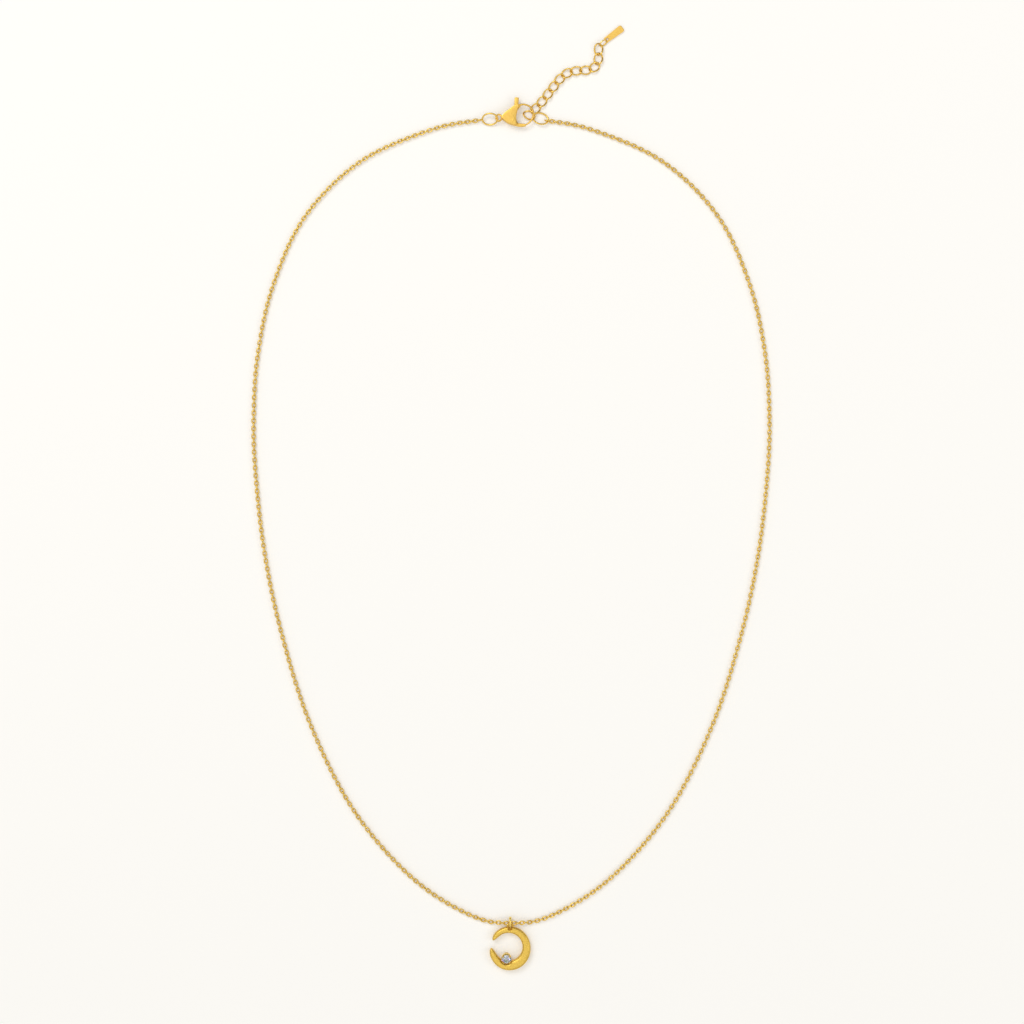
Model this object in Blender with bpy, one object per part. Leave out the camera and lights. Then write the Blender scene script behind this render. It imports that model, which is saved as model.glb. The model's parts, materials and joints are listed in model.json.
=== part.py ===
"""A fine pendant necklace laid out flat on a table: a cable chain, a crescent moon pendant set
with one round stone, a lobster clasp and a curb-link extender with a small end tag.

Metres, +Z up. The necklace lies on z = 0 with the pendant towards -Y and the clasp towards +Y.
Layout positions are counted from the lowest point of the chain's centre line, and at the end the
whole necklace is moved so that the origin is the centre of its footprint.
"""

import math

import bmesh
import bpy
import numpy as np
from mathutils import Matrix, Vector

MM = 0.001

# ---- driving dimensions ---------------------------------------------------------------------
# Main chain: half of the loop, from the lowest point up to the clasp; the other half mirrors it.
HALF_ROUTE = [
    (0.0, 0.0), (9.3, 2.1), (21.5, 10.1), (33.6, 24.2), (42.8, 42.5), (48.9, 61.8), (52.5, 78.9),
    (54.4, 95.7), (54.8, 107.8), (53.9, 121.1), (50.7, 135.6), (43.9, 150.3), (32.1, 162.0),
    (16.9, 168.8), (5.6, 171.0),
]
CHAIN_RADIUS = 0.5 * MM
CENTRE_HALF = 4.5 * MM          # half of the stretch that the pendant hangs on
CENTRE_RADIUS = 0.35 * MM       # the chain is drawn thin where it runs through the bail
CENTRE_LIFT = 0.45 * MM         # and it rises there to clear the bail's wire
CENTRE_SHIFT = 0.2 * MM         # and is pulled a little towards the clasp
SEGMENTS = 8                    # hinged stretches on each side
HINGE_GAP = 0.3 * MM
CHAIN_POINT_STEP = 3.3 * MM
END_LINK = (1.5 * MM, 1.2 * MM)  # outer length and height of the last link on each side
END_LINK_WIRE = 0.11 * MM
END_LINK_OVER_RING = 0.22 * MM  # from the jump ring's wire to the middle of that link
SMALL_GAP = 0.05 * MM
TABLE_TO_WIRE = 0.5 * MM        # height of the chain's centre line

# Pendant
PENDANT_X = -0.27 * MM
BAIL_CENTRE = (0.34 * MM, 0.95 * MM)  # y and z
BAIL_HALF = (1.06 * MM, 0.75 * MM)    # half sizes of the ring's centre line along y and z
BAIL_WIRE = 0.2 * MM
MOON_RADIUS = 4.57 * MM
MOON_STRETCH = (0.958, 1.015)     # the outer edge is a little taller than it is wide
MOON_THICKNESS = 1.6 * MM
MOON_ROUNDING = 0.3 * MM
MOON_X = -0.40 * MM              # it hangs a little to the left of its eyelet
MOON_TOP_Y = -0.50 * MM
CUT_RADIUS = 2.95 * MM
CUT_OFFSET = (-0.30 * MM, 0.32 * MM)
UPPER_HORN_DEG = 151.0
LOWER_HORN_DEG = 183.0
EYELET_RADIUS = 0.385 * MM
EYELET_WIRE = 0.135 * MM
EYELET_NOTCH = 0.45 * MM         # round the eyelet the moon is cut away for the bail
STONE_RADIUS = 1.0 * MM
STONE_OFFSET = (-0.68 * MM, -2.24 * MM)
STONE_TILT_DEG = 20.0
GIRDLE_ABOVE_BASE = 1.6 * MM
BASE_Z = 0.72 * MM
PRONG_WIRE = 0.17 * MM

# Clasp
CLASP_THICKNESS = 2.0 * MM
EYE_CENTRE = (-2.7, 171.2)
EYE_HALF = (0.6 * MM, 0.75 * MM)
EYE_WIRE = 0.15 * MM
EYE_ROLL_DEG = -16.0
PIVOT = (0.3, 170.55)
HOOK_WIRE = 0.18 * MM
HOOK_Z = 1.1 * MM                # a little above the body's middle, clear of the extender
LEVER_Z = (0.92 * MM, 1.32 * MM)
SLOT_Z = (0.72 * MM, 1.40 * MM)
SPRING_Z = 0.82 * MM
RIVET_RADIUS = 0.25 * MM

# Jump rings
RING_WIRE = 0.15 * MM
RING_LEFT = {"centre": (-4.58, 170.95), "size": (3.6, 2.8), "turn": 2.0, "roll": 20.0}
RING_RIGHT = {"centre": (6.16, 171.12), "size": (3.7, 2.8), "turn": -19.0, "roll": -13.0}

# Extender
LINK_WIRE = 0.15 * MM
FIRST_LINK_WIRE = 0.12 * MM
LINK_HALF = (1.2 * MM, 0.86 * MM)
LINK_TWIST = 0.25 * MM
LINK_Z = 0.44 * MM
LINK_PITCH = 2.02 * MM
LINK_COUNT = 12
FIRST_LINK = {
    "centre": (3.76, 171.85), "height": 0.47 * MM, "half": (1.25 * MM, 0.84 * MM), "turn": -19.0,
    "twist": 0.278 * MM,
}
EXTENDER_ROUTE = [
    (5.1, 173.2), (6.5, 174.75), (8.95, 177.9), (10.3, 179.55), (12.0, 180.85), (14.05, 181.3),
    (16.1, 181.45), (17.75, 182.15), (18.45, 183.8), (18.5, 185.8), (18.5, 187.0),
]
TAG_RING_CENTRE = (19.55, 187.42)
TAG_RING_HALF = (0.72 * MM, 0.45 * MM)
TAG_RING_WIRE = 0.12 * MM
TAG_RING_Z = 0.58 * MM
TAG_TURN_DEG = 37.0
TAG_HOLE = (20.16, 187.9)
TAG_HOLE_RADIUS = 0.34 * MM
TAG_LENGTH = 4.6 * MM
TAG_WIDTH = (1.15 * MM, 1.45 * MM)
TAG_THICKNESS = 0.4 * MM
TAG_HOLE_FROM_END = 0.46 * MM

# Colours
GOLD = (0.84, 0.58, 0.20)
PALE_GOLD = (0.90, 0.66, 0.27)


# ---- tools ----------------------------------------------------------------------------------
def clear_scene():
    for old in list(bpy.data.objects):
        bpy.data.objects.remove(old, do_unlink=True)


def new_collection(name, hidden=False):
    collection = bpy.data.collections.new(name)
    bpy.context.scene.collection.children.link(collection)
    collection.hide_render = hidden
    return collection


def new_material(name, colour, roughness, metallic=1.0):
    material = bpy.data.materials.new(name)
    material.use_nodes = True
    shader = material.node_tree.nodes["Principled BSDF"]
    shader.inputs["Base Color"].default_value = (*colour, 1.0)
    shader.inputs["Roughness"].default_value = roughness
    shader.inputs["Metallic"].default_value = metallic
    return material


def add_object(name, data, material, pivot):
    """A named object whose origin is its pivot; data is given in layout positions."""
    pivot = Vector(pivot)
    data.transform(Matrix.Translation(-pivot))
    obj = bpy.data.objects.new(name, data)
    obj.location = pivot
    obj.parent = FRAME
    data.materials.clear()
    data.materials.append(material)
    PARTS.objects.link(obj)
    return obj


def wire_curve(name, points, radius, closed=True, factors=None, resolution=2):
    """A round wire along points, as curve data."""
    curve = bpy.data.curves.new(name, "CURVE")
    curve.dimensions = "3D"
    curve.bevel_depth = radius
    curve.bevel_resolution = resolution
    curve.use_fill_caps = not closed
    spline = curve.splines.new("POLY")
    spline.points.add(len(points) - 1)
    for number, (point, place) in enumerate(zip(spline.points, points)):
        point.co = (*place, 1.0)
        point.radius = 1.0 if factors is None else factors[number]
    spline.use_cyclic_u = closed
    return curve


def mesh_from(data):
    """The mesh of a curve as it is drawn, with its caps joined on."""
    holder = bpy.data.objects.new("holder", data)
    bpy.context.scene.collection.objects.link(holder)
    graph = bpy.context.evaluated_depsgraph_get()
    mesh = bpy.data.meshes.new_from_object(holder.evaluated_get(graph))
    bpy.data.objects.remove(holder)
    work = bmesh.new()
    work.from_mesh(mesh)
    bmesh.ops.remove_doubles(work, verts=work.verts, dist=1e-7)
    bmesh.ops.recalc_face_normals(work, faces=work.faces)
    work.to_mesh(mesh)
    work.free()
    return mesh


def plate_mesh(name, outline, low, high, rounding=0.0, steps=2):
    """A flat plate with a plan outline between two heights, with rounded top and bottom edges."""
    curve = bpy.data.curves.new(name, "CURVE")
    curve.dimensions = "2D"
    curve.fill_mode = "BOTH"
    curve.extrude = (high - low) / 2
    spline = curve.splines.new("POLY")
    spline.points.add(len(outline) - 1)
    for point, (x, y) in zip(spline.points, outline):
        point.co = (x, y, 0.0, 1.0)
    spline.use_cyclic_u = True
    mesh = mesh_from(curve)
    mesh.transform(Matrix.Translation((0.0, 0.0, (low + high) / 2)))
    if rounding:
        work = bmesh.new()
        work.from_mesh(mesh)
        bmesh.ops.dissolve_limit(
            work, angle_limit=math.radians(1), verts=work.verts, edges=work.edges)
        rims = [edge for edge in work.edges if abs(edge.verts[0].co.z - edge.verts[1].co.z) < MM / 100]
        bmesh.ops.bevel(
            work, geom=rims, offset=rounding, segments=steps, profile=0.5, affect="EDGES")
        bmesh.ops.triangulate(work, faces=work.faces)
        work.to_mesh(mesh)
        work.free()
    return mesh


def rod_mesh(name, radius, low, high, sides=24):
    """An upright round rod on the local z axis."""
    mesh = bpy.data.meshes.new(name)
    work = bmesh.new()
    bmesh.ops.create_cone(
        work, cap_ends=True, segments=sides, radius1=radius, radius2=radius, depth=high - low
    )
    bmesh.ops.translate(work, verts=work.verts, vec=(0.0, 0.0, (low + high) / 2))
    work.to_mesh(mesh)
    work.free()
    return mesh


def boolean(target, tools, operation):
    """The target mesh joined with, or cut by, each tool mesh in turn. The work is done at a
    thousand times the size, because the solver loses edges this small."""
    enlarge = Matrix.Scale(1 / MM, 4)
    for mesh in (target, *tools):
        mesh.transform(enlarge)
    for tool in tools:
        one = bpy.data.objects.new("target", target)
        two = bpy.data.objects.new("tool", tool)
        for obj in (one, two):
            bpy.context.scene.collection.objects.link(obj)
        cut = one.modifiers.new("cut", "BOOLEAN")
        cut.operation = operation
        cut.solver = "EXACT"
        cut.object = two
        graph = bpy.context.evaluated_depsgraph_get()
        target = bpy.data.meshes.new_from_object(one.evaluated_get(graph))
        bpy.data.objects.remove(one)
        bpy.data.objects.remove(two)
        work = bmesh.new()
        work.from_mesh(target)
        bmesh.ops.remove_doubles(work, verts=work.verts, dist=1e-4)
        bmesh.ops.triangulate(work, faces=work.faces)
        work.to_mesh(target)
        work.free()
    target.transform(enlarge.inverted())
    return target


def smooth(obj):
    """Shade a round piece smooth and keep its sharp edges."""
    mesh = obj.data
    if isinstance(mesh, bpy.types.Mesh):
        mesh.shade_smooth()
        mesh.set_sharp_from_angle(angle=math.radians(35))
    return obj


def flat(x, y, z=0.0):
    """A layout position given in millimetres, in metres."""
    return Vector((x * MM, y * MM, z))


def through(points, per_span=12):
    """A smooth line through the points (Catmull-Rom), as an array of places."""
    points = np.array(points, float)
    ends = np.vstack([2 * points[0] - points[1], points, 2 * points[-1] - points[-2]])
    places = []
    for before, start, end, after in zip(ends, ends[1:], ends[2:], ends[3:]):
        for t in np.arange(per_span) / per_span:
            places.append(
                0.5 * (2 * start + (end - before) * t
                       + (2 * before - 5 * start + 4 * end - after) * t**2
                       + (3 * start - before - 3 * end + after) * t**3)
            )
    places.append(points[-1])
    return np.array(places)


class Route:
    """A smooth plan line that is read by the distance along it, in metres."""

    def __init__(self, points, mirrored=False):
        if mirrored:
            points = [(-x, y) for x, y in points[:0:-1]] + points
        self.line = through(points) * MM
        steps = np.linalg.norm(np.diff(self.line, axis=0), axis=1)
        self.length = np.concatenate([[0.0], np.cumsum(steps)])
        if mirrored:
            self.length -= self.length[len(self.line) // 2]

    def at(self, distance):
        x = np.interp(distance, self.length, self.line[:, 0])
        y = np.interp(distance, self.length, self.line[:, 1])
        return Vector((float(x), float(y), 0.0))

    def along(self, distance):
        return (self.at(distance + 0.05 * MM) - self.at(distance - 0.05 * MM)).normalized()

    def nearest(self, place):
        gaps = np.linalg.norm(self.line - (place.x, place.y), axis=1)
        return float(self.length[gaps.argmin()])


def oval(centre, half, turn=0.0, roll=0.0, pitch=0.0, twist=0.0, count=28):
    """The centre line of an oval ring lying in plan. turn is about z, roll about its long axis
    and pitch about its short axis, all in degrees; twist lifts opposite quarters of it."""
    place = (
        Matrix.Translation(centre)
        @ Matrix.Rotation(math.radians(turn), 4, "Z")
        @ Matrix.Rotation(math.radians(pitch), 4, "Y")
        @ Matrix.Rotation(math.radians(roll), 4, "X")
    )
    points = []
    for t in np.linspace(0.0, 2 * math.pi, count, endpoint=False):
        local = Vector((half[0] * math.cos(t), half[1] * math.sin(t), twist * math.sin(2 * t)))
        points.append(place @ local)
    return points


def arc(centre, radius, start_deg, end_deg, count):
    angles = np.radians(np.linspace(start_deg, end_deg, count))
    return [(centre[0] + radius * math.cos(a), centre[1] + radius * math.sin(a)) for a in angles]


# ---- main chain -----------------------------------------------------------------------------
def chain_tube(name, start, end, material, pivot):
    """A plain stretch of chain between two distances along the loop."""
    count = max(3, round(abs(end - start) / CHAIN_POINT_STEP) + 1)
    points = []
    for distance in np.linspace(start, end, count):
        points.append(LOOP.at(distance) + Vector((0.0, 0.0, TABLE_TO_WIRE)))
    curve = wire_curve(name, points, CHAIN_RADIUS, closed=False)
    return add_object(name, curve, material, pivot)


def chain_centre(material):
    """The stretch under the bail: thin in the middle, and raised off the table there."""
    end = CENTRE_HALF - HINGE_GAP / 2
    points = []
    factors = []
    for distance in np.linspace(-end, end, 13):
        rise = np.clip((end - abs(distance)) / (2.0 * MM), 0.0, 1.0)
        rise = rise * rise * (3 - 2 * rise)
        lift = Vector((0.0, CENTRE_SHIFT * rise, TABLE_TO_WIRE + CENTRE_LIFT * rise))
        points.append(LOOP.at(distance) + lift)
        factors.append(1.0 + (CENTRE_RADIUS / CHAIN_RADIUS - 1.0) * rise)
    curve = wire_curve("chain_center", points, CHAIN_RADIUS, closed=False, factors=factors)
    return add_object("chain_center", curve, material, (0.0, 0.0, TABLE_TO_WIRE))


def chain_side(name, ring_end, material):
    """The hinged stretches of one side and the upright link that the jump ring goes through."""
    sign = math.copysign(1.0, ring_end.x)
    link_at = abs(LOOP.nearest(ring_end)) - END_LINK_OVER_RING
    last = link_at - END_LINK[0] / 2 - SMALL_GAP
    edges = np.linspace(CENTRE_HALF, last, SEGMENTS + 1)
    for number in range(SEGMENTS):
        start = edges[number] + HINGE_GAP / 2
        end = edges[number + 1] - (HINGE_GAP / 2 if number < SEGMENTS - 1 else 0.0)
        pivot = LOOP.at(sign * edges[number]) + Vector((0.0, 0.0, TABLE_TO_WIRE))
        chain_tube(f"{name}_{number + 1:02d}", sign * start, sign * end, material, pivot)
    centre = LOOP.at(sign * link_at) + Vector((0.0, 0.0, END_LINK[1] / 2))
    heading = LOOP.along(sign * link_at)
    turn = math.degrees(math.atan2(heading.y, heading.x))
    half = (END_LINK[0] / 2 - END_LINK_WIRE, END_LINK[1] / 2 - END_LINK_WIRE)
    points = oval(centre, half, turn=turn, roll=90.0, count=20)
    curve = wire_curve(f"{name}_end_link", points, END_LINK_WIRE)
    pivot = LOOP.at(sign * edges[SEGMENTS - 1]) + Vector((0.0, 0.0, TABLE_TO_WIRE))
    add_object(f"{name}_end_link", curve, material, pivot)


# ---- pendant --------------------------------------------------------------------------------
def bail_ring(material):
    """The jump ring that carries the pendant, standing on edge across the chain."""
    centre = (PENDANT_X, *BAIL_CENTRE)
    points = oval(Vector(centre), BAIL_HALF, turn=90.0, roll=90.0, count=32)
    add_object("bail_ring", wire_curve("bail_ring", points, BAIL_WIRE), material, centre)


def moon_outline(centre):
    """The crescent's plan: outer arc, rounded lower horn, inner arc, rounded upper horn."""
    cut = (centre[0] + CUT_OFFSET[0], centre[1] + CUT_OFFSET[1])
    outer = []
    for x, y in arc((0.0, 0.0), MOON_RADIUS, LOWER_HORN_DEG, UPPER_HORN_DEG + 360.0, 72):
        outer.append((centre[0] + MOON_STRETCH[0] * x, centre[1] + MOON_STRETCH[1] * y))

    def inner_angle(place):
        """The angle of a place about the cut-out's centre."""
        return math.degrees(math.atan2(place[1] - cut[1], place[0] - cut[0])) % 360.0

    upper = inner_angle(outer[-1])
    lower = inner_angle(outer[0])
    inner = arc(cut, CUT_RADIUS, upper + 360.0, lower, 60)
    return (
        outer + horn_tip(outer[-2], outer[-1], inner[0]) + inner
        + horn_tip(inner[-2], inner[-1], outer[0])
    )


def horn_tip(before, start, end, count=6):
    """A half-round tip from start to end, bulging the way the outline was going."""
    start, end = Vector(start), Vector(end)
    centre = (start + end) / 2
    radius = (end - start).length / 2
    across = (start - centre).normalized()
    ahead = Vector((-across.y, across.x))
    if ahead.dot(start - Vector(before)) < 0:
        ahead = -ahead
    tip = []
    for t in np.linspace(0.0, math.pi, count + 2)[1:-1]:
        tip.append(tuple(centre + radius * (math.cos(t) * across + math.sin(t) * ahead)))
    return tip


def setting_frame(moon_centre):
    """Local axes of the setting: origin at its base ring, z out through the stone."""
    tilt = math.radians(STONE_TILT_DEG)
    stone_x = moon_centre[0] + STONE_OFFSET[0]
    stone_y = moon_centre[1] + STONE_OFFSET[1]
    base = Vector((stone_x, stone_y + GIRDLE_ABOVE_BASE * math.sin(tilt), BASE_Z))
    return Matrix.Translation(base) @ Matrix.Rotation(tilt, 4, "X")


def ring_in(frame, radius, height, count=24):
    points = []
    for t in np.linspace(0.0, 2 * math.pi, count, endpoint=False):
        points.append(frame @ Vector((radius * math.cos(t), radius * math.sin(t), height)))
    return points


def prong_points(frame, angle, swell=0.0):
    """A prong from the base ring, outside the girdle and over the crown's edge."""
    profile = [
        (0.56, 0.0), (0.80, 0.75), (1.10, 1.40), (1.17, 1.66), (1.06, 1.90), (0.88, 1.99),
    ]
    points = []
    for radius, height in profile:
        across = radius * MM + swell
        points.append(
            frame @ Vector((across * math.cos(angle), across * math.sin(angle), height * MM))
        )
    return points


def stone_mesh(frame, grow=0.0):
    """A round brilliant: table, crown, thin girdle and pavilion, with 16 sides."""
    girdle = GIRDLE_ABOVE_BASE
    radius = STONE_RADIUS + grow
    profile = [
        (0.0, girdle - 0.86 * MM - grow), (radius, girdle - 0.04 * MM - grow / 2),
        (radius, girdle + 0.04 * MM + grow / 2), (0.56 * radius, girdle + 0.32 * MM + grow),
        (0.0, girdle + 0.32 * MM + grow),
    ]
    mesh = bpy.data.meshes.new("stone")
    work = bmesh.new()
    rings = []
    for across, height in profile:
        if across == 0.0:
            rings.append([work.verts.new((0.0, 0.0, height))])
            continue
        ring = []
        for t in np.linspace(0.0, 2 * math.pi, 16, endpoint=False):
            ring.append(work.verts.new((across * math.cos(t), across * math.sin(t), height)))
        rings.append(ring)
    for low, high in zip(rings, rings[1:]):
        for side in range(16):
            nxt = (side + 1) % 16
            corners = [low[side % len(low)], low[nxt % len(low)],
                       high[nxt % len(high)], high[side % len(high)]]
            work.faces.new(list(dict.fromkeys(corners)))
    bmesh.ops.recalc_face_normals(work, faces=work.faces)
    work.to_mesh(mesh)
    work.free()
    mesh.transform(frame)
    return mesh


def pendant(gold, prong_gold, clear):
    """The crescent with its soldered eyelet, the four-prong basket in its notch, and the stone."""
    centre = (MOON_X, MOON_TOP_Y - MOON_STRETCH[1] * MOON_RADIUS)
    hang = (PENDANT_X, BAIL_CENTRE[0] - BAIL_HALF[0], MOON_THICKNESS / 2)
    frame = setting_frame(centre)
    crescent = plate_mesh("moon", moon_outline(centre), 0.0, MOON_THICKNESS, MOON_ROUNDING)
    eyelet = mesh_from(wire_curve(
        "eyelet", oval(Vector(hang), (EYELET_RADIUS, EYELET_RADIUS), count=24), EYELET_WIRE))
    seat = bpy.data.meshes.new("seat")
    work = bmesh.new()
    bmesh.ops.create_cone(
        work, cap_ends=True, segments=32, radius1=0.80 * MM, radius2=1.42 * MM, depth=2.3 * MM)
    bmesh.ops.translate(work, verts=work.verts, vec=(0.0, 0.0, 0.85 * MM))
    work.to_mesh(seat)
    work.free()
    seat.transform(frame)
    notch = rod_mesh("notch", EYELET_NOTCH, -MM, 3 * MM)
    notch.transform(Matrix.Translation((hang[0], hang[1], 0.0)))
    crescent = boolean(crescent, [seat, notch], "DIFFERENCE")
    crescent = boolean(crescent, [eyelet], "UNION")
    smooth(add_object("moon", crescent, gold, hang))

    basket = mesh_from(wire_curve("basket", ring_in(frame, 0.56 * MM, 0.0), PRONG_WIRE))
    gallery = mesh_from(wire_curve("gallery", ring_in(frame, 0.86 * MM, 0.80 * MM), 0.13 * MM))
    prongs = []
    for quarter in range(4):
        points = prong_points(frame, math.radians(45.0 + 90.0 * quarter))
        prongs.append(mesh_from(wire_curve("prong", points, PRONG_WIRE, closed=False)))
    basket = boolean(basket, [gallery, *prongs], "UNION")
    basket = boolean(basket, [stone_mesh(frame, grow=0.02 * MM)], "DIFFERENCE")
    smooth(add_object("stone_setting", basket, prong_gold, hang))
    add_object("stone", stone_mesh(frame), clear, hang)


# ---- clasp ----------------------------------------------------------------------------------
def clasp(gold, steel):
    """The lobster clasp: body with eye and hook, lever with gate and thumb tab, rivet, spring."""
    middle = CLASP_THICKNESS / 2
    eye = flat(*EYE_CENTRE, middle)
    pivot = flat(*PIVOT, middle)
    edges = (
        through([(-2.1, 171.5), (-1.35, 172.3), (-0.45, 173.0), (0.6, 173.75), (2.0, 174.15)], 4),
        through([(2.05, 173.75), (1.35, 173.25), (0.95, 171.8), (1.05, 170.5), (1.3, 170.0)], 4),
        through([(0.95, 169.6), (0.25, 169.7), (-0.75, 170.05), (-1.55, 170.6), (-2.1, 171.1)], 4),
    )
    outline = [(x * MM, y * MM) for edge in edges for x, y in edge]
    body = plate_mesh("clasp_body", outline, 0.0, CLASP_THICKNESS, 0.15 * MM)
    eye_ring = mesh_from(wire_curve("eye", oval(eye, EYE_HALF, roll=EYE_ROLL_DEG, count=24), EYE_WIRE))
    hook_line = through([
        (1.75, 173.92), (2.4, 174.02), (3.2, 173.9), (3.95, 173.5), (4.5, 172.8),
        (4.62, 171.9), (4.42, 171.1), (4.02, 170.4), (3.45, 169.95),
    ], per_span=3)
    hook_points = [flat(x, y, HOOK_Z) for x, y in hook_line]
    factors = np.interp(np.arange(len(hook_points)), [0, 4, 20, 24], [1.2, 1.0, 1.0, 1.15])
    hook = mesh_from(wire_curve("hook", hook_points, HOOK_WIRE, closed=False, factors=factors))
    slot_outline = [(x * MM, y * MM) for x, y in [
        (-0.95, 175.0), (-0.95, 172.1), (-0.35, 170.6), (-0.35, 169.0), (2.2, 169.0),
        (2.2, 172.6), (1.5, 172.9), (1.5, 175.0)]]
    slot = plate_mesh("slot", slot_outline, *SLOT_Z)
    bore = rod_mesh("bore", RIVET_RADIUS + 0.02 * MM, -1 * MM, 3 * MM)
    bore.transform(Matrix.Translation(flat(*PIVOT)))
    body = boolean(body, [eye_ring, hook], "UNION")
    body = boolean(body, [slot, bore], "DIFFERENCE")
    smooth(add_object("clasp_body", body, gold, eye))

    lever_line = [
        (0.62, 175.45), (0.80, 175.72), (1.18, 175.76), (1.40, 175.52), (1.38, 174.9),
        (1.22, 173.8), (1.00, 172.6), (0.86, 171.5), (0.98, 170.55), (1.45, 170.12),
        (2.2, 169.98), (2.85, 169.93), (3.08, 169.72), (2.95, 169.38), (2.2, 169.22),
        (1.2, 169.28), (0.35, 169.72), (-0.12, 170.35), (-0.1, 171.3), (0.25, 172.4),
        (0.52, 173.7),
    ]
    lever = plate_mesh(
        "clasp_lever", [(x * MM, y * MM) for x, y in lever_line], *LEVER_Z, 0.1 * MM)
    hole = rod_mesh("hole", RIVET_RADIUS + 0.05 * MM, -1 * MM, 3 * MM)
    hole.transform(Matrix.Translation(flat(*PIVOT)))
    smooth(add_object("clasp_lever", boolean(lever, [hole], "DIFFERENCE"), gold, pivot))

    rivet = rod_mesh("clasp_rivet", RIVET_RADIUS, 0.02 * MM, CLASP_THICKNESS - 0.02 * MM)
    rivet.transform(Matrix.Translation(flat(*PIVOT)))
    smooth(add_object("clasp_rivet", rivet, gold, pivot))

    coil = []
    for degrees in np.arange(200.0, 520.0, 20.0):
        angle = math.radians(degrees)
        coil.append(flat(*PIVOT, SPRING_Z) + 0.38 * MM * Vector((math.cos(angle), math.sin(angle), 0)))
    coil.append(coil[-1] + Vector((-0.35 * MM, 0.3 * MM, 0.0)))
    spring = wire_curve("clasp_spring", coil, 0.06 * MM, closed=False)
    add_object("clasp_spring", spring, steel, pivot)


# ---- jump rings and extender ----------------------------------------------------------------
def jump_ring(name, ring, heights, material, pivot):
    """An oval jump ring whose two ends lie at the given heights."""
    half = (ring["size"][0] / 2 * MM - RING_WIRE, ring["size"][1] / 2 * MM - RING_WIRE)
    pitch = math.degrees(math.atan2(heights[0] - heights[1], 2 * half[0]))
    centre = flat(*ring["centre"], sum(heights) / 2)
    points = oval(centre, half, turn=ring["turn"], roll=ring["roll"], pitch=pitch, count=36)
    add_object(name, wire_curve(name, points, RING_WIRE), material, pivot)


def extender(gold, tag_gold):
    """Twelve curb links, the small ring on the last one, and the end tag."""
    route = Route(EXTENDER_ROUTE)
    centres = [flat(*FIRST_LINK["centre"], FIRST_LINK["height"])]
    turns = [FIRST_LINK["turn"]]
    for number in range(LINK_COUNT - 1):
        place = route.at(number * LINK_PITCH)
        heading = route.along(max(number * LINK_PITCH, 0.1 * MM))
        centres.append(place + Vector((0.0, 0.0, LINK_Z)))
        turns.append(math.degrees(math.atan2(heading.y, heading.x)))
    before = flat(4.6, 171.35, LINK_Z)
    for number, (centre, turn) in enumerate(zip(centres, turns)):
        half = LINK_HALF if number else FIRST_LINK["half"]
        twist = LINK_TWIST if number else FIRST_LINK["twist"]
        wire = LINK_WIRE if number > 1 else FIRST_LINK_WIRE
        points = oval(centre, half, turn=turn, twist=twist, count=24)
        name = f"extender_link_{number + 1:02d}"
        pivot = before if number == 0 else (centres[number - 1] + centre) / 2
        add_object(name, wire_curve(name, points, wire), gold, pivot)

    ring_centre = flat(*TAG_RING_CENTRE, TAG_RING_Z)
    points = oval(ring_centre, TAG_RING_HALF, turn=TAG_TURN_DEG, roll=70.0, count=24)
    heading = Vector((math.cos(math.radians(TAG_TURN_DEG)), math.sin(math.radians(TAG_TURN_DEG)), 0))
    pivot = ring_centre - heading * TAG_RING_HALF[0]
    add_object("tag_ring", wire_curve("tag_ring", points, TAG_RING_WIRE), gold, pivot)

    start = -TAG_HOLE_FROM_END
    end = start + TAG_LENGTH
    low, high = TAG_WIDTH[0] / 2, TAG_WIDTH[1] / 2
    corner = 0.4 * MM
    outline = [(start, -low), (end - corner, -high), (end - 0.12 * MM, -high + 0.12 * MM),
               (end, -high + corner), (end, high - corner), (end - 0.12 * MM, high - 0.12 * MM),
               (end - corner, high), (start, low)]
    tag = plate_mesh("end_tag", outline, 0.0, TAG_THICKNESS)
    tag = boolean(tag, [rod_mesh("hole", TAG_HOLE_RADIUS, -MM, MM)], "DIFFERENCE")
    hole_place = flat(*TAG_HOLE)
    tag.transform(
        Matrix.Translation(hole_place) @ Matrix.Rotation(math.radians(TAG_TURN_DEG), 4, "Z"))
    smooth(add_object("end_tag", tag, tag_gold, hole_place))


def centre_frame():
    """Move the whole necklace so that the origin is the centre of its footprint."""
    bpy.context.view_layer.update()
    graph = bpy.context.evaluated_depsgraph_get()
    corners = []
    for obj in PARTS.objects:
        drawn = obj.evaluated_get(graph)
        mesh = drawn.to_mesh()
        corners += [obj.matrix_world @ vertex.co for vertex in mesh.vertices]
        drawn.to_mesh_clear()
    places = np.array([tuple(corner) for corner in corners])
    low, high = places.min(axis=0), places.max(axis=0)
    FRAME.location = (-(low[0] + high[0]) / 2, -(low[1] + high[1]) / 2, -low[2])
    bpy.context.view_layer.update()


clear_scene()
PARTS = new_collection("pendant_necklace")
FRAME = bpy.data.objects.new("necklace_frame", None)
bpy.context.scene.collection.objects.link(FRAME)
LOOP = Route(HALF_ROUTE, mirrored=True)


def ring_end(ring, sign):
    """Where the middle of the ring's wire is at its left (-1) or right (+1) end."""
    turn = math.radians(ring["turn"])
    reach = sign * (ring["size"][0] / 2 * MM - RING_WIRE)
    return flat(*ring["centre"]) + reach * Vector((math.cos(turn), math.sin(turn), 0.0))


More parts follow.
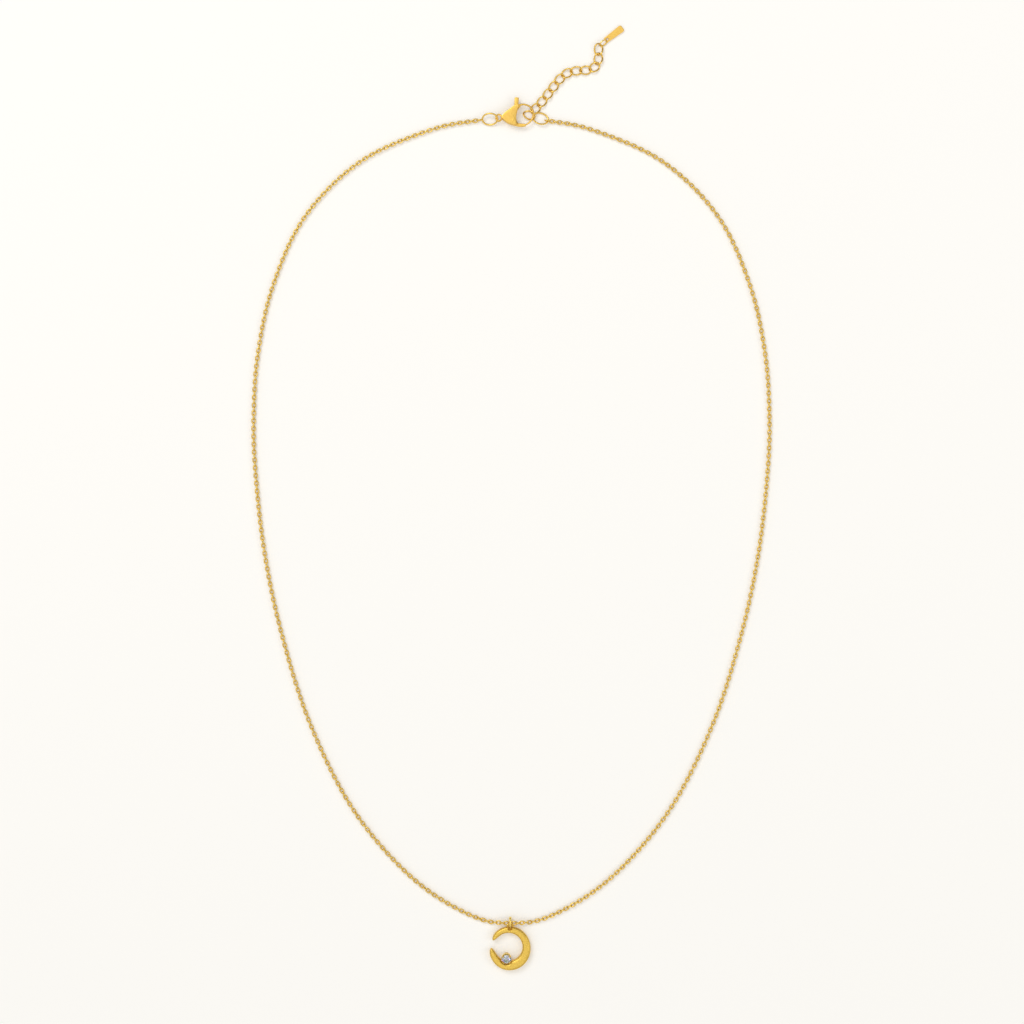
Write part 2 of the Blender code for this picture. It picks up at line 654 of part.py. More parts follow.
def build():
    gold = new_material("polished_gold", GOLD, 0.22)
    satin = new_material("satin_gold", GOLD, 0.38)
    pale = new_material("pale_gold", PALE_GOLD, 0.25)
    steel = new_material("spring_steel", (0.62, 0.62, 0.60), 0.35)
    clear = new_material("clear_stone", (0.86, 0.90, 0.96), 0.03, metallic=0.0)

    chain_centre(gold)
    left_end = ring_end(RING_LEFT, -1)
    right_end = ring_end(RING_RIGHT, 1)
    chain_side("chain_left", left_end, gold)
    chain_side("chain_right", right_end, gold)
    bail_ring(pale)
    pendant(satin, pale, clear)

    up = Vector((0.0, 0.0, 1.0))
    jump_ring("ring_left", RING_LEFT, (END_LINK[1] / 2, CLASP_THICKNESS / 2), gold,
              left_end + TABLE_TO_WIRE * up)
    jump_ring("ring_right", RING_RIGHT, (FIRST_LINK["height"], END_LINK[1] / 2), gold,
              right_end + TABLE_TO_WIRE * up)
    clasp(satin, steel)
    extender(gold, satin)
    centre_frame()


build()
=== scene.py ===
"""The looks of a fine pendant necklace laid out flat: a gold cable chain made link by link, a
satin crescent moon with one brilliant stone, a lobster clasp, and an extender of curb links with
its end tag.

The pieces follow the making: chain, bail, moon, setting, stone, jump rings, clasp, extender, tag.
"""

import json
import math

import bpy
import numpy as np
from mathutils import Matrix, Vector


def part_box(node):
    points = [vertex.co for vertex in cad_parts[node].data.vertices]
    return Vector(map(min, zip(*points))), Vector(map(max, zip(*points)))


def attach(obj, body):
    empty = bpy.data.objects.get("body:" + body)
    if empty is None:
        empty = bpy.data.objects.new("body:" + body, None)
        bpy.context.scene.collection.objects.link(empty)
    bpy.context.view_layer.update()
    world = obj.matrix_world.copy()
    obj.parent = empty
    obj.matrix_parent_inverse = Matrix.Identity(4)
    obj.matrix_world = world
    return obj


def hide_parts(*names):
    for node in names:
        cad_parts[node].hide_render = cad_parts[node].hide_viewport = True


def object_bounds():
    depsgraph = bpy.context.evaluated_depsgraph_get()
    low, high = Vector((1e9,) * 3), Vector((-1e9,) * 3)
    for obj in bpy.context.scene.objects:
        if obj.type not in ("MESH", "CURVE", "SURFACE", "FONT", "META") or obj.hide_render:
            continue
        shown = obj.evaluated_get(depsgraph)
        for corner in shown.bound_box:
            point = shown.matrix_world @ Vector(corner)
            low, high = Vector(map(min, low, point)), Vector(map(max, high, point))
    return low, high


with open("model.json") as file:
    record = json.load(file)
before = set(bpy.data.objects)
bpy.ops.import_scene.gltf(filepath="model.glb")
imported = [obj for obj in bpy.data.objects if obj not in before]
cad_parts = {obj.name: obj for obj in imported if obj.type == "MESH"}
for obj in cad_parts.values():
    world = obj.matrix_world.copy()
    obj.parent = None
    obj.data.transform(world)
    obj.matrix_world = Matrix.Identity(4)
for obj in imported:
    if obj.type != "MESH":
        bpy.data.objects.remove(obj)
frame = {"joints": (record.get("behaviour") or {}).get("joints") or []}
cad_low, cad_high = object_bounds()

# ---- Table top, light and camera ----------------------------------------------------------------
# A warm white table top under a large soft tent of light, with one softbox to the upper left and a
# weaker one to the right. The camera looks straight down on the middle of the necklace.
MM = 0.001
scene = bpy.context.scene
scene.view_settings.view_transform = "Standard"

LENS = 85.0
SENSOR = 36.0
VIEW_WIDTH = 217.6 * MM
VIEW_SHIFT = (0.1 * MM, -3.0 * MM)
CHAIN_MIDDLE = 0.5 * MM
middle = (cad_low + cad_high) / 2

camera_data = bpy.data.cameras.new("camera")
camera_data.lens = LENS
camera_data.sensor_width = SENSOR
camera_data.clip_start = 0.01
camera = bpy.data.objects.new("camera", camera_data)
camera.location = (
    middle.x + VIEW_SHIFT[0], middle.y + VIEW_SHIFT[1],
    CHAIN_MIDDLE + VIEW_WIDTH * LENS / SENSOR)
scene.collection.objects.link(camera)
scene.camera = camera

TABLE_HALF = 2.5
TABLE_COLOUR = (0.93, 0.922, 0.90, 1.0)
TABLE_GLOW = 0.12
GLOW_COLOUR = (1.0, 0.985, 0.95, 1.0)
table_mesh = bpy.data.meshes.new("table_top")
corners = TABLE_HALF * np.array([(-1, -1, 0), (1, -1, 0), (1, 1, 0), (-1, 1, 0)], float)
table_mesh.from_pydata(corners.tolist(), [], [(0, 1, 2, 3)])
table = bpy.data.objects.new("table_top", table_mesh)
scene.collection.objects.link(table)
table_paint = bpy.data.materials.new("table_paint")
table_paint.use_nodes = True
shader = table_paint.node_tree.nodes["Principled BSDF"]
shader.inputs["Base Color"].default_value = TABLE_COLOUR
shader.inputs["Roughness"].default_value = 0.9
shader.inputs["Specular IOR Level"].default_value = 0.0
shader.inputs["Emission Color"].default_value = GLOW_COLOUR
shader.inputs["Emission Strength"].default_value = TABLE_GLOW
table_mesh.materials.append(table_paint)

# The tent is brightest along an axis that leans from overhead a little to the left and towards the
# pendant. It falls off through a grey shoulder to a dim lower half.
TENT_AXIS = (-0.12, -0.30, 0.95)
TENT_DIM = (0.0, (0.16, 0.15, 0.13, 1.0))
TENT_SHOULDER = (0.45, (0.42, 0.41, 0.39, 1.0))
TENT_BRIGHT = (0.95, (1.0, 0.99, 0.97, 1.0))
TENT_STRENGTH = 1.05
world = bpy.data.worlds.new("light_tent")
scene.world = world
world.use_nodes = True
nodes = world.node_tree.nodes
links = world.node_tree.links
direction = nodes.new("ShaderNodeTexCoord")
tent_axis = nodes.new("ShaderNodeVectorMath")
tent_axis.operation = "DOT_PRODUCT"
tent_axis.inputs[1].default_value = TENT_AXIS
ramp = nodes.new("ShaderNodeValToRGB")
ramp.color_ramp.elements[0].position, ramp.color_ramp.elements[0].color = TENT_DIM
ramp.color_ramp.elements[1].position, ramp.color_ramp.elements[1].color = TENT_BRIGHT
shoulder = ramp.color_ramp.elements.new(TENT_SHOULDER[0])
shoulder.color = TENT_SHOULDER[1]
links.new(direction.outputs["Generated"], tent_axis.inputs[0])
links.new(tent_axis.outputs["Value"], ramp.inputs["Fac"])
links.new(ramp.outputs["Color"], nodes["Background"].inputs["Color"])
nodes["Background"].inputs["Strength"].default_value = TENT_STRENGTH


def softbox(name, place, size, power):
    """A square light panel at a place above the table, turned to face the necklace."""
    data = bpy.data.lights.new(name, "AREA")
    data.shape = "SQUARE"
    data.size = size
    data.energy = power
    panel = bpy.data.objects.new(name, data)
    panel.location = place
    panel.rotation_euler = (middle - panel.location).to_track_quat("-Z", "Y").to_euler()
    scene.collection.objects.link(panel)


softbox("softbox_upper_left", place=(-0.35, 0.50, 0.75), size=0.45, power=2.4)
softbox("softbox_right", place=(0.75, -0.1, 0.6), size=0.35, power=0.8)

# ---- Main chain ---------------------------------------------------------------------------------
# About five hundred soldered oval wire links, each at right angles to the last, in polished gold
# plate. They are drawn through one another, and lie along one smooth oval on the table.
HALF_ROUTE = MM * np.array([
    (0.0, 0.0), (9.3, 2.1), (21.5, 10.1), (33.6, 24.2), (42.8, 42.5), (48.9, 61.8), (52.5, 78.9),
    (54.4, 95.7), (54.8, 107.8), (53.9, 121.1), (50.7, 135.6), (43.9, 150.3), (32.1, 162.0),
    (16.9, 168.8), (5.6, 171.0),
])
CHAIN_HEIGHT = 0.5 * MM
CENTRE_LIFT = 0.45 * MM
CENTRE_SHIFT = 0.2 * MM
CENTRE_END = 4.35 * MM
CENTRE_SLOPE = 2 * MM
FINE_STEPS = 40001
CABLE_LINK = (1.39 * MM, 1.0 * MM)
CABLE_WIRE = 0.14 * MM
LINK_STRAIGHTNESS = 0.85
LINK_ASKEW = 5.0
END_LINK_STEP = 0.945 * MM
BAIL_PLACE = MM * np.array((-0.27, 0.34, 0.95))
random = np.random.default_rng(7)

bail_low, bail_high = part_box("bail_ring")
layout = np.array((bail_low + bail_high) / 2) - BAIL_PLACE


def smooth_line(points, per_span=12):
    """Points along a Catmull-Rom line: between two points the line leaves each one parallel to the
    line between that point's neighbours."""
    points = np.asarray(points, float)
    padded = np.vstack([2 * points[0] - points[1], points, 2 * points[-1] - points[-2]])
    before, start, end, after = (padded[k:len(padded) - 3 + k, None] for k in range(4))
    t = (np.arange(per_span) / per_span)[None, :, None]
    line = 0.5 * (2 * start + (end - before) * t
                  + (2 * before - 5 * start + 4 * end - after) * t**2
                  + (3 * start - before - 3 * end + after) * t**3)
    return np.vstack([line.reshape(-1, points.shape[1]), points[-1]])


loop_line = smooth_line(np.vstack([HALF_ROUTE[:0:-1] * (-1, 1), HALF_ROUTE]))
loop_length = np.concatenate([[0.0], np.cumsum(np.linalg.norm(np.diff(loop_line, axis=0), axis=1))])
loop_length -= loop_length[len(loop_line) // 2]


def chain_place(distance):
    """Places on the chain's centre line by the distance from its lowest point. In the middle the
    line rises smoothly to pass through the bail."""
    rise = np.clip((CENTRE_END - np.abs(distance)) / CENTRE_SLOPE, 0.0, 1.0)
    rise = rise * rise * (3 - 2 * rise)
    x = np.interp(distance, loop_length, loop_line[:, 0])
    y = np.interp(distance, loop_length, loop_line[:, 1]) + CENTRE_SHIFT * rise
    return np.stack([x, y, CHAIN_HEIGHT + CENTRE_LIFT * rise], axis=-1) + layout


fine_distance = np.linspace(loop_length[0], loop_length[-1], FINE_STEPS)
fine_place = chain_place(fine_distance)


def distance_of(place):
    """The distance along the chain of its point nearest to a place in plan."""
    gaps = np.hypot(fine_place[:, 0] - place[0], fine_place[:, 1] - place[1])
    return fine_distance[gaps.argmin()]


def ring_faces(rings, sides, looped):
    """Four-sided faces between each ring of points and the next; a surface that isn't looped gets
    one many-sided face on each end."""
    steps = rings if looped else rings - 1
    ring, side = np.meshgrid(np.arange(steps), np.arange(sides), indexing="ij")
    after = (ring + 1) % rings
    beside = (side + 1) % sides
    quads = np.stack([ring * sides + side, after * sides + side,
                      after * sides + beside, ring * sides + beside], axis=-1).reshape(-1, 4)
    faces = quads.tolist()
    if not looped:
        faces.append(list(range(sides)))
        faces.append(list(range((rings - 1) * sides, rings * sides))[::-1])
    return faces


def outward(points, faces):
    """The faces, all turned round if the volume that they close comes out negative. Each face is
    cut into triangles from its first corner, and a triangle adds its corners' triple product."""
    volume = 0.0
    for face in faces:
        corner = points[face]
        volume += np.einsum("i,ji->", corner[0], np.cross(corner[1:-1], corner[2:]))
    return faces if volume > 0 else [face[::-1] for face in faces]


def surface_mesh(name, parts, smooth=True):
    """One mesh from several closed surfaces, each given as (grid of points, looped)."""
    points = []
    faces = []
    start = 0
    for grid, looped in parts:
        rings, sides = grid.shape[:2]
        flat = grid.reshape(-1, 3)
        found = outward(flat - flat.mean(axis=0), ring_faces(rings, sides, looped))
        faces += [[corner + start for corner in face] for face in found]
        points.append(flat)
        start += len(flat)
    mesh = bpy.data.meshes.new(name)
    mesh.from_pydata(np.concatenate(points).tolist(), [], faces)
    mesh.polygons.foreach_set("use_smooth", np.full(len(faces), smooth))
    mesh.update()
    return mesh


def add_piece(name, mesh, material, slot, body, *cad_nodes):
    """Puts a finished mesh in the scene on its body, in place of the CAD nodes it stands for."""
    piece = bpy.data.objects.new(name, mesh)
    scene.collection.objects.link(piece)
    mesh.materials.append(material)
    if cad_nodes:
        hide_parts(*cad_nodes)
    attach(piece, body)


def wire(line, radius, sides=10, looped=True, up=(0.0, 0.0, 1.0)):
    """A round wire: a circle of the given radius carried along a line, square to it. An open wire
    gets half-round ends. The radius may be one number or one for each point."""
    line = np.asarray(line, float)
    radius = np.broadcast_to(radius, len(line)).astype(float)
    if looped:
        heading = np.roll(line, -1, axis=0) - np.roll(line, 1, axis=0)
    else:
        heading = np.gradient(line, axis=0)
        angle = np.radians([85.0, 60.0, 30.0])[:, None]
        first = heading[0] / np.linalg.norm(heading[0])
        last = heading[-1] / np.linalg.norm(heading[-1])
        line = np.vstack([line[0] - radius[0] * np.sin(angle) * first, line,
                          line[-1] + radius[-1] * np.sin(angle[::-1]) * last])
        heading = np.vstack([[first] * 3, heading, [last] * 3])
        radius = np.concatenate([radius[0] * np.cos(angle[:, 0]), radius,
                                 radius[-1] * np.cos(angle[::-1, 0])])
    heading /= np.linalg.norm(heading, axis=1)[:, None]
    across = np.cross(heading, np.asarray(up, float))
    across /= np.linalg.norm(across, axis=1)[:, None]
    above = np.cross(across, heading)
    turn = np.linspace(0.0, 2 * math.pi, sides, endpoint=False)[None, :, None]
    circle = np.cos(turn) * across[:, None] + np.sin(turn) * above[:, None]
    return line[:, None] + radius[:, None, None] * circle, looped


def gold_finish(name, pale, deep, rough, grain, relief, stretch=(1.0, 1.0, 1.0), turn=0.0):
    """Gold plate: a tint that drifts between two golds, a gloss that drifts with it, and a fine
    relief. grain is the size of the finest marks in metres, and stretch draws them out."""
    material = bpy.data.materials.new(name)
    material.use_nodes = True
    tree = material.node_tree
    shader = tree.nodes["Principled BSDF"]
    shader.inputs["Metallic"].default_value = 1.0
    place = tree.nodes.new("ShaderNodeTexCoord")
    mapping = tree.nodes.new("ShaderNodeMapping")
    mapping.inputs["Scale"].default_value = stretch
    mapping.inputs["Rotation"].default_value = (0.0, 0.0, turn)
    tree.links.new(place.outputs["Object"], mapping.inputs["Vector"])

    cloud = tree.nodes.new("ShaderNodeTexNoise")
    cloud.inputs["Scale"].default_value = 0.5 / grain
    cloud.inputs["Detail"].default_value = 4.0
    tree.links.new(mapping.outputs["Vector"], cloud.inputs["Vector"])
    tint = tree.nodes.new("ShaderNodeValToRGB")
    tint.color_ramp.elements[0].position = 0.32
    tint.color_ramp.elements[0].color = (*deep, 1.0)
    tint.color_ramp.elements[1].position = 0.68
    tint.color_ramp.elements[1].color = (*pale, 1.0)
    tree.links.new(cloud.outputs["Fac"], tint.inputs["Fac"])
    tree.links.new(tint.outputs["Color"], shader.inputs["Base Color"])

    marks = tree.nodes.new("ShaderNodeTexNoise")
    marks.inputs["Scale"].default_value = 1.0 / grain
    marks.inputs["Detail"].default_value = 3.0
    tree.links.new(mapping.outputs["Vector"], marks.inputs["Vector"])
    gloss = tree.nodes.new("ShaderNodeMapRange")
    gloss.inputs["From Min"].default_value = 0.3
    gloss.inputs["From Max"].default_value = 0.7
    gloss.inputs["To Min"].default_value = rough * 0.8
    gloss.inputs["To Max"].default_value = rough * 1.25
    tree.links.new(marks.outputs["Fac"], gloss.inputs["Value"])
    tree.links.new(gloss.outputs["Result"], shader.inputs["Roughness"])
    bump = tree.nodes.new("ShaderNodeBump")
    bump.inputs["Strength"].default_value = 1.0
    bump.inputs["Distance"].default_value = relief
    tree.links.new(marks.outputs["Fac"], bump.inputs["Height"])
    tree.links.new(bump.outputs["Normal"], shader.inputs["Normal"])
    return material


chain_gold = gold_finish(
    "polished_chain_gold", (0.94, 0.68, 0.18), (0.80, 0.53, 0.11), 0.24, 0.12 * MM, 0.0015 * MM)

# One link lies along x. Its wire follows an oval with straighter sides than an ellipse has.
turn = np.linspace(0.0, 2 * math.pi, 14, endpoint=False)
squared_cos = np.sign(np.cos(turn)) * np.abs(np.cos(turn))**LINK_STRAIGHTNESS
squared_sin = np.sign(np.sin(turn)) * np.abs(np.sin(turn))**LINK_STRAIGHTNESS
oval_x = (CABLE_LINK[0] / 2 - CABLE_WIRE) * squared_cos
oval_y = (CABLE_LINK[1] / 2 - CABLE_WIRE) * squared_sin
one_link = wire(np.stack([oval_x, oval_y, 0 * turn], axis=-1), CABLE_WIRE, sides=6)[0]


def cable(distances, rolls):
    """Copies of the link at these distances: x along the chain, and y and z turned about it by the
    roll, from flat on the table at 0."""
    ahead = chain_place(distances + 0.2 * MM) - chain_place(distances - 0.2 * MM)
    ahead /= np.linalg.norm(ahead, axis=1)[:, None]
    side = np.cross((0.0, 0.0, 1.0), ahead)
    side /= np.linalg.norm(side, axis=1)[:, None]
    above = np.cross(ahead, side)
    across = np.cos(rolls)[:, None] * side + np.sin(rolls)[:, None] * above
    axes = np.stack([ahead, across, np.cross(ahead, across)], axis=1)
    placed = np.einsum("ijk,nkl->nijl", one_link, axes) + chain_place(distances)[:, None, None]
    return [(grid, True) for grid in placed]


def roll_of(numbers):
    """Every second link stands on edge, the one in the bail first, and each is a little askew."""
    askew = np.radians(random.normal(0.0, LINK_ASKEW, len(numbers)))
    return np.where(numbers % 2 == 0, math.pi / 2, 0.0) + askew * (numbers != 0)


# The links are shared out between the stretches at the chain's hinges, an odd number of them on
# each side, so that the last one on both sides lies flat in the end link that stands on edge.
joint_place = {joint["name"]: joint["pos_m"] for joint in frame["joints"]}
bail_at = distance_of(layout + BAIL_PLACE)
centre_links = []
for side, sign in (("left", -1.0), ("right", 1.0)):
    end_low, end_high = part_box(f"chain_{side}_end_link")
    end_at = distance_of((end_low + end_high) / 2)
    reach = abs(end_at - bail_at) - END_LINK_STEP
    count = 2 * round((reach / (CABLE_LINK[0] - 4 * CABLE_WIRE) - 1) / 2) + 1
    numbers = np.arange(1, count + 1)
    distances = bail_at + sign * reach * numbers / count
    rolls = roll_of(numbers)
    hinges = [distance_of(joint_place[f"{side}_chain_bend_{k:02d}"]) for k in range(1, 9)]
    stretch = np.searchsorted(np.abs(hinges), np.abs(distances))
    centre_links += cable(distances[stretch == 0], rolls[stretch == 0])
    for k in range(1, 9):
        here = stretch == k
        mesh = surface_mesh(f"cable_{side}_{k:02d}", cable(distances[here], rolls[here]))
        node = f"chain_{side}_{k:02d}"
        add_piece(mesh.name, mesh, chain_gold, "chain_gold", node, node)
centre_links += cable(np.array([bail_at]), np.array([math.pi / 2]))
mesh = surface_mesh("cable_center", centre_links)
add_piece("cable_center", mesh, chain_gold, "chain_gold", "chain_center", "chain_center")

# The last link on each side is a larger one that stands on edge and takes the jump ring.
END_WIRE = 0.13 * MM
END_LINK_REACH = 0.75 * MM
SEAM_THINNING = 0.22
SEAM_WIDTH = 0.05


def oval(centre, half, turn=0.0, roll=0.0, pitch=0.0, twist=0.0, count=48):
    """The middle line of an oval ring lying in plan: x and y by cosine and sine, height by the sine
    of twice the angle times twist. Then it is rolled about its long axis, pitched about its short
    one and turned about the vertical, in degrees."""
    t = np.linspace(0.0, 2 * math.pi, count, endpoint=False)
    local = np.stack([half[0] * np.cos(t), half[1] * np.sin(t), twist * np.sin(2 * t)], axis=-1)
    a, b, c = np.radians([roll, pitch, turn])
    about_x = np.array([(1, 0, 0), (0, math.cos(a), -math.sin(a)), (0, math.sin(a), math.cos(a))])
    about_y = np.array([(math.cos(b), 0, math.sin(b)), (0, 1, 0), (-math.sin(b), 0, math.cos(b))])
    about_z = np.array([(math.cos(c), -math.sin(c), 0), (math.sin(c), math.cos(c), 0), (0, 0, 1)])
    turned = about_z @ about_y @ about_x
    return local @ turned.T + np.asarray(centre, float), turned[:, 2]


def wire_ring(centre, half, radius, sides=12, seam=None, **placing):
    """An oval wire ring, thinned a little where its two ends meet if it has a seam angle."""
    line, normal = oval(centre, half, **placing)
    if seam is not None:
        t = np.linspace(0.0, 2 * math.pi, len(line), endpoint=False)
        away = np.abs((t - math.radians(seam) + math.pi) % (2 * math.pi) - math.pi)
        radius = radius * (1.0 - SEAM_THINNING * np.exp(-((away / SEAM_WIDTH) ** 2)))
    return wire(line, radius, sides, up=normal)


for side, sign in (("left", -1.0), ("right", 1.0)):
    node = f"chain_{side}_end_link"
    low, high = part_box(node)
    centre = np.array((low + high) / 2)
    at = distance_of(centre)
    ahead = chain_place(np.array([at + MM / 5]))[0] - chain_place(np.array([at - MM / 5]))[0]
    half = (END_LINK_REACH - END_WIRE, (high.z - low.z) / 2 - END_WIRE)
    heading = math.degrees(math.atan2(ahead[1], ahead[0]))
    mesh = surface_mesh(f"end_link_{side}", [
        wire_ring(centre, half, END_WIRE, roll=90.0, turn=heading)])
    add_piece(mesh.name, mesh, chain_gold, "chain_gold", f"chain_{side}_08", node)

# ---- Bail ring ----------------------------------------------------------------------------------
# The oval ring that carries the pendant: bright gold wire bent round the chain and the moon's
# eyelet, then closed. It stands on edge, so from above it is a short bar.
BAIL_WIRE = 0.26 * MM
BAIL_HALF = (1.02 * MM, 0.69 * MM)
bright_gold = gold_finish(
    "bright_bail_gold", (0.97, 0.74, 0.22), (0.88, 0.63, 0.16), 0.26, 0.15 * MM, 0.002 * MM)
centre = layout + BAIL_PLACE
mesh = surface_mesh("bail", [
    wire_ring(centre, BAIL_HALF, BAIL_WIRE, 16, seam=200.0, roll=90.0, turn=90.0)])
add_piece("bail", mesh, bright_gold, "bright_gold", "bail_ring", "bail_ring")

# ---- Crescent moon ------------------------------------------------------------------------------
# The moon is cast in one piece with a slightly domed face and a flat back, plated, and rubbed to a
# satin finish. It is thickest at the lower right. A round seat is cut into its inner edge for the
# setting, and its wire eyelet is soldered into a notch at the top.
MOON_CENTRE = layout[:2] + MM * np.array((-0.37, -5.139))
MOON_RADIUS = 4.57 * MM
MOON_STRETCH = (0.967, 1.015)
MOON_HEIGHT = 1.6 * MM
CUT_RADIUS = 2.98 * MM
CUT_OFFSET = MM * np.array((-0.28, 0.33))
STONE_OFFSET = MM * np.array((-0.71, -2.08))
HORNS_DEG = (179.5, 514.5)
HORN_TAPER_DEG = 26.0
HORN_DRIFT = 0.10
SLAB_SQUARENESS = 0.42
DOME = 0.16 * MM
SEAT_RADIUS = 0.95 * MM
SEAT_FLARE = 0.17
EYELET_PLACE = layout + MM * np.array((-0.27, -0.60, 0.64))
EYELET_HALF = (0.56 * MM, 0.46 * MM)
EYELET_WIRE = 0.20 * MM
NOTCH_RADIUS = 0.52 * MM

satin_gold = gold_finish(
    "satin_moon_gold", (0.96, 0.66, 0.14), (0.68, 0.45, 0.08), 0.40, 0.10 * MM, 0.016 * MM,
    stretch=(0.7, 1.0, 1.0), turn=math.radians(-35.0))


def chord(offset, radius, angle):
    """How a line from the moon's centre at this angle crosses a circle round a point at that
    offset. First comes the offset's share along the line, then half the chord: the root of the
    radius squared less the offset's share across the line squared, or 0 where the line misses."""
    along = offset[0] * np.cos(angle) + offset[1] * np.sin(angle)
    beside = offset[0] * np.sin(angle) - offset[1] * np.cos(angle)
    return along, np.sqrt(np.clip(radius**2 - beside**2, 0.0, None))


def far_side(offset, radius, angle):
    """How far out the line leaves the circle, or 0 where it misses it."""
    along, half_chord = chord(offset, radius, angle)
    return np.where(half_chord > 0, along + half_chord, 0.0)


def near_side(offset, radius, angle):
    """How far out the line enters a circle ahead of it, and endless where it misses it."""
    along, half_chord = chord(offset, radius, angle)
    return np.where((half_chord > 0) & (along > 0), along - half_chord, np.inf)


def crescent_grid(rings=440, sides=40):
    """The crescent: a rounded slab section carried round the moon's centre. The section runs
    between the cut-out circle, or the setting's seat where that reaches further, and the outer
    oval, or the notch for the eyelet, and it shrinks to a rounded point at each horn."""
    t = np.linspace(0.0, 1.0, rings)[:, None]
    angle = np.radians(HORNS_DEG[0] + (HORNS_DEG[1] - HORNS_DEG[0]) * t)
    span = HORNS_DEG[1] - HORNS_DEG[0]
    from_tip = np.clip(np.minimum(t, 1 - t) * span / HORN_TAPER_DEG, 0.0, 1.0)
    taper = np.sqrt(np.clip(1 - (1 - from_tip)**2, 0.0004, 1.0))
    turn = np.linspace(0.0, 2 * math.pi, sides, endpoint=False)[None, :]
    across = np.sign(np.cos(turn)) * np.abs(np.cos(turn))**SLAB_SQUARENESS
    height = np.sign(np.sin(turn)) * np.abs(np.sin(turn))**SLAB_SQUARENESS
    upward = np.clip(height, 0.0, 1.0)
    z = MOON_HEIGHT / 2 * (1 + height * taper**0.35) - DOME * across**2 * upward
    inner = far_side(CUT_OFFSET, CUT_RADIUS, angle)
    inner = np.maximum(inner, far_side(STONE_OFFSET, SEAT_RADIUS + SEAT_FLARE * z, angle))
    outer = MOON_RADIUS * np.hypot(MOON_STRETCH[0] * np.cos(angle), MOON_STRETCH[1] * np.sin(angle))
    outer = np.minimum(outer, near_side(EYELET_PLACE[:2] - MOON_CENTRE, NOTCH_RADIUS, angle))
    centre_line = (inner + outer) / 2 + HORN_DRIFT * (1 - taper) * MM
    half_width = (outer - inner) / 2 * taper
    radius = centre_line + half_width * across
    x = MOON_CENTRE[0] + radius * np.cos(angle)
    y = MOON_CENTRE[1] + radius * np.sin(angle)
    return np.stack([x, y, z + 0 * radius], axis=-1), False


eyelet = wire_ring(EYELET_PLACE, EYELET_HALF, EYELET_WIRE, 14, count=40)
root = EYELET_PLACE - (0.0, EYELET_HALF[1], 0.0)
solder_line = root + MM * np.array([
    (-0.5, -0.02, 0.0), (-0.25, -0.06, 0.0), (0.0, -0.1, 0.0), (0.25, -0.06, 0.0),
    (0.5, -0.02, 0.0)])
solder = wire(solder_line, MM * np.array([0.12, 0.2, 0.24, 0.2, 0.12]), 12, looped=False)
mesh = surface_mesh("crescent_moon", [crescent_grid(), eyelet, solder])
add_piece("crescent_moon", mesh, satin_gold, "satin_gold", "moon", "moon")

# ---- Stone setting ------------------------------------------------------------------------------
# A basket of bright gold: a conical gallery on a small foot ring, and four wire prongs soldered up
# its side, each notched for the stone and pushed over its edge. It leans a little forward.
TILT = math.radians(20.0)
GIRDLE = 1.6 * MM
STONE_RADIUS = 1.0 * MM
BASE_HEIGHT = 0.72 * MM
FOOT_RADIUS = 0.58 * MM
FOOT_WIRE = 0.15 * MM
PRONG_WIRE = 0.125 * MM
setting_z = np.array((0.0, -math.sin(TILT), math.cos(TILT)))
setting_y = np.array((0.0, math.cos(TILT), math.sin(TILT)))
setting_x = np.array((1.0, 0.0, 0.0))
setting_plan = MOON_CENTRE + STONE_OFFSET + (0.0, GIRDLE * math.sin(TILT))
setting_base = np.array((*setting_plan, BASE_HEIGHT))


def in_setting(points):
    """Points given along the setting's own three axes, placed in the necklace."""
    return points @ np.stack([setting_x, setting_y, setting_z]) + setting_base


def level_ring(radius, height, count=40):
    """A circle round the setting's axis."""
    t = np.linspace(0.0, 2 * math.pi, count, endpoint=False)
    return in_setting(np.stack([radius * np.cos(t), radius * np.sin(t), 0 * t + height], axis=-1))


CUP_PROFILE = MM * np.array([
    (0.50, 0.00), (0.60, -0.04), (0.68, 0.06), (0.84, 0.50), (0.98, 0.90), (1.02, 1.08),
    (0.99, 1.15), (0.92, 1.10), (0.86, 0.88), (0.72, 0.50), (0.54, 0.14)])


def cup(around=56):
    """The conical gallery under the stone: its wall's closed profile turned about the axis."""
    t = np.linspace(0.0, 2 * math.pi, around, endpoint=False)
    radius, height = CUP_PROFILE[:, 0], CUP_PROFILE[:, 1]
    rings = np.stack([np.cos(t)[:, None] * radius, np.sin(t)[:, None] * radius,
                      np.broadcast_to(height, (around, len(height)))], axis=-1)
    return in_setting(rings), True


foot_plate = np.stack([level_ring(radius * MM, height * MM) for radius, height in (
    (0.05, -0.05), (0.60, -0.05), (0.60, 0.06), (0.05, 0.06))])
foot_ring = wire(level_ring(FOOT_RADIUS, 0.0), FOOT_WIRE, 12, up=setting_z)
basket = [cup(), (foot_plate, False), foot_ring]
prong_profile = smooth_line(MM * np.array([
    (0.60, 0.0), (0.86, 0.66), (1.07, 1.35), (1.12, 1.62), (1.05, 1.84), (0.88, 1.97)]), 5)
for quarter in range(4):
    a = math.radians(45.0 + 90.0 * quarter)
    radius, height = prong_profile.T
    line = in_setting(np.stack([radius * math.cos(a), radius * math.sin(a), height], axis=-1))
    sideways = math.cos(a) * setting_y - math.sin(a) * setting_x
    basket.append(wire(line, PRONG_WIRE, 12, looped=False, up=sideways))
mesh = surface_mesh("prong_basket", basket)
add_piece("prong_basket", mesh, bright_gold, "bright_gold", "moon", "stone_setting")

# ---- Stone --------------------------------------------------------------------------------------
# A round brilliant, clear, with a cool fire painted into its colour: a table, eight stars, eight
# kites and sixteen upper facets on the crown, a thin girdle, and sixteen lower facets and eight
# mains on the pavilion.
TABLE = 0.56
CROWN = 0.33 * MM
PAVILION = 0.84 * MM
GIRDLE_HALF = 0.03 * MM
STAR_REACH = 0.79
PAVILION_REACH = 0.24


